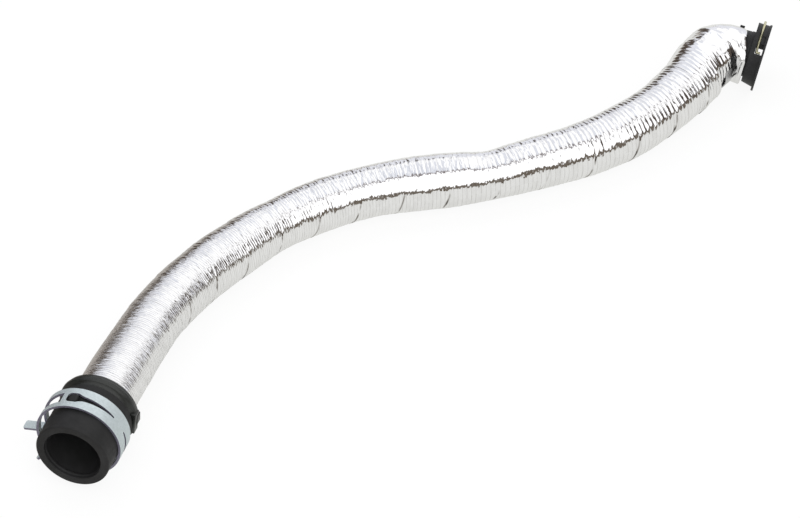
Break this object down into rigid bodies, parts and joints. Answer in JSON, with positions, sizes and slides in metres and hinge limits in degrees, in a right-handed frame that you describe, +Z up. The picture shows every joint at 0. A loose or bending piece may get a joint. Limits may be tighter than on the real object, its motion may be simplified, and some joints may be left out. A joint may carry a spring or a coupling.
{
  "type": "air intake hose",
  "caption": "S-shaped air hose in a corrugated foil sleeve, with a rubber cuff and loose spring clamp at one end and a quick-connect elbow at the other.",
  "frame": {"origin": "centre of the end cuff's mouth, on the axis of its bore", "axes": "+Y along the cuff's bore into the hose, +Z up from the surface the hose lies on, +X to the side where the elbow connector lies"},
  "size_m": [0.32, 0.4976, 0.0526],
  "materials": {
    "cuff_rubber": "matt black moulded rubber",
    "clamp_steel": "light bluish zinc flake coat",
    "collar_plastic": "glossy black",
    "hose_rubber": "matt black",
    "foil_corrugated": "bright corrugated foil",
    "foil_smooth": "bright crumpled foil",
    "band_steel": "plain stainless band",
    "connector_plastic": "black glass-filled plastic",
    "seal_rubber": "dark green, smooth",
    "retainer_plastic": "dark grey plastic",
    "clip_wire": "pale brass-coloured passivated spring wire"
  },
  "bodies": {
    "hose": {"end_cuff": "cuff_rubber", "spring_clamp": "clamp_steel", "sleeve_collar": "collar_plastic", "inner_hose": "hose_rubber", "foil_sleeve": "foil_corrugated", "foil_end_wrap": "foil_smooth", "barb_clamp": "band_steel", "elbow_connector": "connector_plastic", "seal_ring": "seal_rubber", "seal_retainer": "retainer_plastic"},
    "clip": {"retaining_clip": "clip_wire"}
  },
  "joints": [
    {"name": "clip_lift", "type": "slide", "parent": "hose", "child": "clip", "axis": [0.0952, 0.6356, 0.7661], "range_m": [0, 0.005]}
  ]
}
